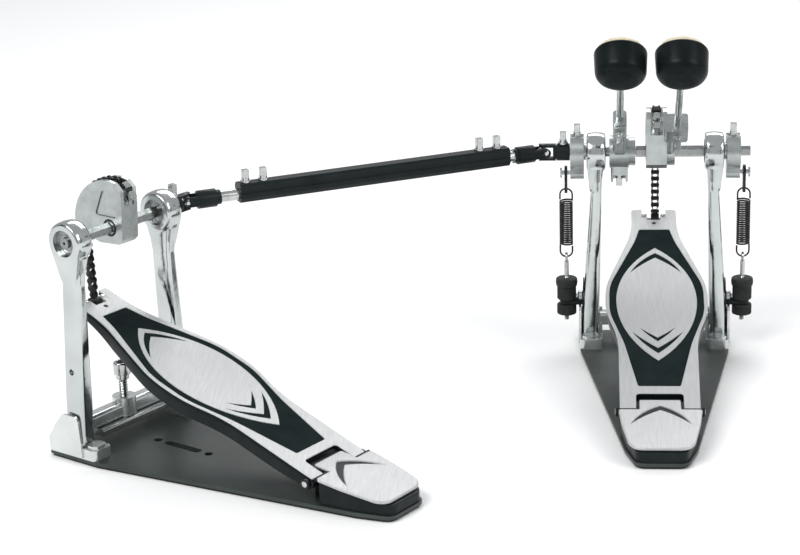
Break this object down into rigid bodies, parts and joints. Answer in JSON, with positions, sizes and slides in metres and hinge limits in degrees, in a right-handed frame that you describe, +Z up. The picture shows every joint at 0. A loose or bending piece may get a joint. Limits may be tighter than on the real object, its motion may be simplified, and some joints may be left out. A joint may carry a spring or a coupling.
{
  "type": "twin bass drum pedal",
  "caption": "Twin bass drum pedal: two chain-driven footboards joined by a telescopic drive shaft swing two felt-faced beaters.",
  "frame": {"origin": "on the floor below the middle of the primary pedal's axle", "axes": "+X to the player's right along the primary axle, +Y towards the drum, +Z up"},
  "size_m": [0.5903, 0.4387, 0.314],
  "materials": {
    "rubber": "matt",
    "black_steel": "satin black",
    "polished_casting": "polished",
    "plated_steel": "plated",
    "bearing_steel": "ground",
    "brushed_metal": "brushed",
    "black_plastic": "satin",
    "felt": "felt"
  },
  "bodies": {
    "primary_frame": {"primary_base_rubber": "rubber", "primary_base_plate": "black_steel", "primary_frame_casting": "polished_casting", "primary_left_post": "polished_casting", "primary_right_post": "polished_casting", "primary_axle_bearings": "bearing_steel", "primary_heel_block": "black_plastic", "primary_heel_plate": "brushed_metal", "primary_hinge_pin": "bearing_steel", "right_spring_adjuster": "plated_steel", "left_spring_adjuster": "plated_steel"},
    "primary_clamp": {"primary_clamp_jaw": "plated_steel", "primary_clamp_bolt": "plated_steel"},
    "primary_footboard": {"primary_footboard": "brushed_metal"},
    "primary_axle": {"primary_axle": "plated_steel", "primary_drive_cam": "polished_casting", "primary_chain_wrap": "black_steel", "right_beater_holder": "polished_casting", "right_spring_cam": "polished_casting", "primary_axle_screws": "plated_steel"},
    "primary_chain": {"primary_chain_drop": "black_steel"},
    "right_beater": {"right_beater_rod": "plated_steel", "right_beater_head": "black_plastic", "right_beater_felt": "felt"},
    "left_axle": {"left_stub_axle": "plated_steel", "left_beater_holder": "polished_casting", "left_spring_cam": "polished_casting", "left_stub_screws": "plated_steel", "primary_axle_yoke": "black_steel", "primary_joint_cross": "bearing_steel"},
    "left_beater": {"left_beater_rod": "plated_steel", "left_beater_head": "black_plastic", "left_beater_felt": "felt"},
    "right_spring_arm": {"right_spring": "black_steel"},
    "right_spring_link": {"right_spring_link": "black_steel"},
    "left_spring_arm": {"left_spring": "black_steel"},
    "left_spring_link": {"left_spring_link": "black_steel"},
    "drive_shaft": {"drive_shaft_near_fork": "black_steel", "drive_shaft_tube": "black_steel", "drive_shaft_screws": "plated_steel"},
    "far_fork": {"drive_shaft_far_fork": "black_steel"},
    "secondary_frame": {"secondary_base_rubber": "rubber", "secondary_base_plate": "black_steel", "secondary_frame_casting": "polished_casting", "secondary_left_post": "polished_casting", "secondary_right_post": "polished_casting", "secondary_axle_bearings": "bearing_steel", "secondary_heel_block": "black_plastic", "secondary_heel_plate": "brushed_metal", "secondary_hinge_pin": "bearing_steel"},
    "secondary_clamp": {"secondary_clamp_jaw": "plated_steel", "secondary_clamp_bolt": "plated_steel"},
    "secondary_footboard": {"secondary_footboard": "brushed_metal"},
    "secondary_axle": {"secondary_axle": "plated_steel", "secondary_drive_cam": "polished_casting", "secondary_chain_wrap": "black_steel", "secondary_axle_yoke": "black_steel", "secondary_joint_cross": "bearing_steel", "secondary_axle_screws": "plated_steel"},
    "secondary_chain": {"secondary_chain_drop": "black_steel"}
  },
  "joints": [
    {"name": "primary_footboard_hinge", "type": "hinge", "parent": "primary_frame", "child": "primary_footboard", "pos_m": [0, -0.219, 0.021], "axis": [-1, 0, 0], "range_deg": [0, 6.5], "stiffness_Nm_per_rad": 9, "springref_deg": -9.17},
    {"name": "primary_axle_turn", "type": "hinge", "parent": "primary_frame", "child": "primary_axle", "pos_m": [0, 0, 0.185], "axis": [-1, 0, 0], "range_deg": [0, 43.8]},
    {"name": "primary_chain_bend", "type": "hinge", "parent": "primary_axle", "child": "primary_chain", "pos_m": [0.0012, 0.03594, 0.1988], "axis": [1, 0, 0], "range_deg": [0, 48.7]},
    {"name": "primary_clamp_screw", "type": "slide", "parent": "primary_frame", "child": "primary_clamp", "axis": [0, 0, -1], "range_m": [0, 0.006]},
    {"name": "secondary_footboard_hinge", "type": "hinge", "parent": "secondary_frame", "child": "secondary_footboard", "pos_m": [-0.25557, -0.34282, 0.021], "axis": [-0.5299, -0.848, 0], "range_deg": [0, 6.5], "stiffness_Nm_per_rad": 9, "springref_deg": -9.17},
    {"name": "secondary_axle_turn", "type": "hinge", "parent": "secondary_frame", "child": "secondary_axle", "pos_m": [-0.4413, -0.22677, 0.185], "axis": [-0.5299, -0.848, 0], "range_deg": [0, 43.8]},
    {"name": "secondary_chain_bend", "type": "hinge", "parent": "secondary_axle", "child": "secondary_chain", "pos_m": [-0.47114, -0.2067, 0.1988], "axis": [0.5299, 0.848, 0], "range_deg": [0, 48.7]},
    {"name": "secondary_clamp_screw", "type": "slide", "parent": "secondary_frame", "child": "secondary_clamp", "axis": [0, 0, -1], "range_m": [0, 0.006]},
    {"name": "left_axle_turn", "type": "hinge", "parent": "primary_frame", "child": "left_axle", "pos_m": [0, 0, 0.185], "axis": [-1, 0, 0], "range_deg": [0, 43.8]},
    {"name": "drive_shaft_turn", "type": "hinge", "parent": "primary_frame", "child": "drive_shaft", "pos_m": [-0.1, 0, 0.185], "axis": [-0.8854, -0.4648, 0], "range_deg": [0, 43.8]},
    {"name": "shaft_length", "type": "slide", "parent": "primary_frame", "child": "secondary_frame", "axis": [-0.8854, -0.4648, 0], "range_m": [-0.014, 0.04]},
    {"name": "far_fork_turn", "type": "hinge", "parent": "secondary_frame", "child": "far_fork", "pos_m": [-0.39705, -0.15596, 0.185], "axis": [-0.8854, -0.4648, 0], "range_deg": [0, 43.8]},
    {"name": "right_beater_height", "type": "slide", "parent": "primary_axle", "child": "right_beater", "axis": [0, -0.7431, 0.6691], "range_m": [-0.014, 0.02]},
    {"name": "right_spring_tilt", "type": "hinge", "parent": "primary_frame", "child": "right_spring_arm", "pos_m": [0.0796, 0, 0.0875], "axis": [1, 0, 0], "range_deg": [0, 9.4]},
    {"name": "right_spring_stretch", "type": "slide", "parent": "right_spring_arm", "child": "right_spring_link", "axis": [0, 0, 1], "range_m": [0, 0.0053], "deforming": ["right_spring"]},
    {"name": "left_beater_height", "type": "slide", "parent": "left_axle", "child": "left_beater", "axis": [0, -0.7431, 0.6691], "range_m": [-0.014, 0.02]},
    {"name": "left_spring_tilt", "type": "hinge", "parent": "primary_frame", "child": "left_spring_arm", "pos_m": [-0.0796, 0, 0.0875], "axis": [1, 0, 0], "range_deg": [0, 9.4]},
    {"name": "left_spring_stretch", "type": "slide", "parent": "left_spring_arm", "child": "left_spring_link", "axis": [0, 0, 1], "range_m": [0, 0.0053], "deforming": ["left_spring"]}
  ],
  "couplings": [
    {"joint": "primary_axle_turn", "follows": "primary_footboard_hinge", "ratio": 6.72},
    {"joint": "primary_chain_bend", "follows": "primary_footboard_hinge", "ratio": 7.464},
    {"joint": "secondary_axle_turn", "follows": "secondary_footboard_hinge", "ratio": 6.72},
    {"joint": "secondary_chain_bend", "follows": "secondary_footboard_hinge", "ratio": 7.464},
    {"joint": "left_axle_turn", "follows": "secondary_footboard_hinge", "ratio": 6.72},
    {"joint": "drive_shaft_turn", "follows": "secondary_footboard_hinge", "ratio": 6.72},
    {"joint": "far_fork_turn", "follows": "secondary_footboard_hinge", "ratio": 6.72},
    {"joint": "right_spring_tilt", "follows": "primary_footboard_hinge", "ratio": 1.4333},
    {"joint": "right_spring_stretch", "follows": "primary_footboard_hinge", "m_per_rad": 0.04575},
    {"joint": "left_spring_tilt", "follows": "secondary_footboard_hinge", "ratio": 1.4333},
    {"joint": "left_spring_stretch", "follows": "secondary_footboard_hinge", "m_per_rad": 0.04575}
  ]
}
